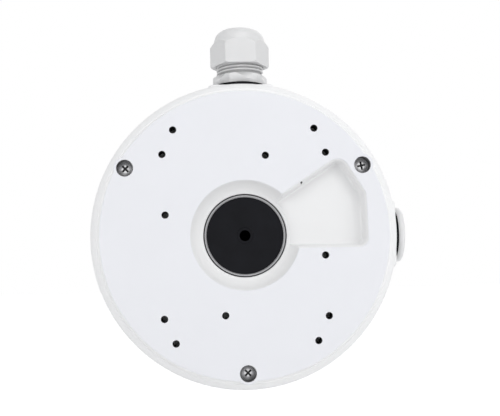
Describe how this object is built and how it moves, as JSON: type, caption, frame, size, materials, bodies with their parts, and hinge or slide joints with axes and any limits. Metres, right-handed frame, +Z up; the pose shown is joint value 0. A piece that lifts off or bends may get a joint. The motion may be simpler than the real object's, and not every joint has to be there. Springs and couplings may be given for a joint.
{
  "type": "camera junction box",
  "caption": "Round white die-cast junction box for a camera: screwed cover with a dished cable entry and a plug pocket, a cable gland on top and a blanking plug at the side",
  "frame": {"origin": "centre of the round back rim, on the plane of the wall the box is screwed to", "axes": "+Y is the outward normal of the wall face, so the camera side looks along -Y; +Z runs up through the cable gland; +X points to the viewer's right, through the blanking plug"},
  "size_m": [0.1424, 0.0534, 0.1658],
  "materials": {
    "housing": "white powder coat, fine texture",
    "cover": "white powder coat, fine texture",
    "seal": "dark silicone cord, matte",
    "grommet": "black, matte",
    "ring": "bare turned metal, satin",
    "rear_rubber": "black, matte",
    "washer": "black, matte",
    "gland": "light grey nylon",
    "claw": "light grey nylon",
    "gland_rubber": "black, matte",
    "cap": "light grey nylon",
    "plug": "light grey nylon",
    "screw": "plain steel, satin",
    "retainer": "plain steel, satin"
  },
  "bodies": {
    "box": {"rear_housing": "housing", "cover_seal": "seal", "front_cover": "cover", "cable_grommet": "grommet", "grommet_ring": "ring", "rear_grommet": "rear_rubber", "gland_washer": "washer", "gland_body": "gland"},
    "gland_insert": {"gland_claw": "claw", "gland_seal": "gland_rubber"},
    "gland_cap": {"gland_cap": "cap"},
    "retainer_right": {"screw_retainer_right": "retainer"},
    "screw_right": {"cover_screw_right": "screw"},
    "retainer_left": {"screw_retainer_left": "retainer"},
    "screw_left": {"cover_screw_left": "screw"},
    "retainer_bottom": {"screw_retainer_bottom": "retainer"},
    "screw_bottom": {"cover_screw_bottom": "screw"},
    "plug_washer": {"side_plug_washer": "washer"},
    "plug": {"side_plug": "plug"}
  },
  "joints": [
    {"name": "gland_insert_slide", "type": "slide", "parent": "box", "child": "gland_insert", "axis": [0, 0, 1], "range_m": [-0.0036, 0.0055]},
    {"name": "gland_cap_turn", "type": "hinge", "parent": "gland_insert", "child": "gland_cap", "pos_m": [0, -0.026, 0.085], "axis": [0, 0, 1], "range_deg": [-865, 1321]},
    {"name": "retainer_right_slide", "type": "slide", "parent": "box", "child": "retainer_right", "axis": [0, -1, 0], "range_m": [0, 0.00525]},
    {"name": "screw_right_turn", "type": "hinge", "parent": "retainer_right", "child": "screw_right", "pos_m": [0.05196, -0.04, 0.03], "axis": [0, -1, 0], "range_deg": [0, 2701]},
    {"name": "retainer_left_slide", "type": "slide", "parent": "box", "child": "retainer_left", "axis": [0, -1, 0], "range_m": [0, 0.00525]},
    {"name": "screw_left_turn", "type": "hinge", "parent": "retainer_left", "child": "screw_left", "pos_m": [-0.05196, -0.04, 0.03], "axis": [0, -1, 0], "range_deg": [0, 2701]},
    {"name": "retainer_bottom_slide", "type": "slide", "parent": "box", "child": "retainer_bottom", "axis": [0, -1, 0], "range_m": [0, 0.00525]},
    {"name": "screw_bottom_turn", "type": "hinge", "parent": "retainer_bottom", "child": "screw_bottom", "pos_m": [0, -0.04, -0.06], "axis": [0, -1, 0], "range_deg": [0, 2701]},
    {"name": "plug_washer_slide", "type": "slide", "parent": "box", "child": "plug_washer", "axis": [1, 0, 0], "range_m": [0, 0.0075]},
    {"name": "plug_turn", "type": "hinge", "parent": "plug_washer", "child": "plug", "pos_m": [0.072, -0.026, 0], "axis": [1, 0, 0], "range_deg": [0, 1801]}
  ],
  "couplings": [
    {"joint": "gland_cap_turn", "follows": "gland_insert_slide", "rad_per_m": 4188.8},
    {"joint": "screw_right_turn", "follows": "retainer_right_slide", "rad_per_m": 8976},
    {"joint": "screw_left_turn", "follows": "retainer_left_slide", "rad_per_m": 8976},
    {"joint": "screw_bottom_turn", "follows": "retainer_bottom_slide", "rad_per_m": 8976},
    {"joint": "plug_turn", "follows": "plug_washer_slide", "rad_per_m": 4188.8}
  ]
}
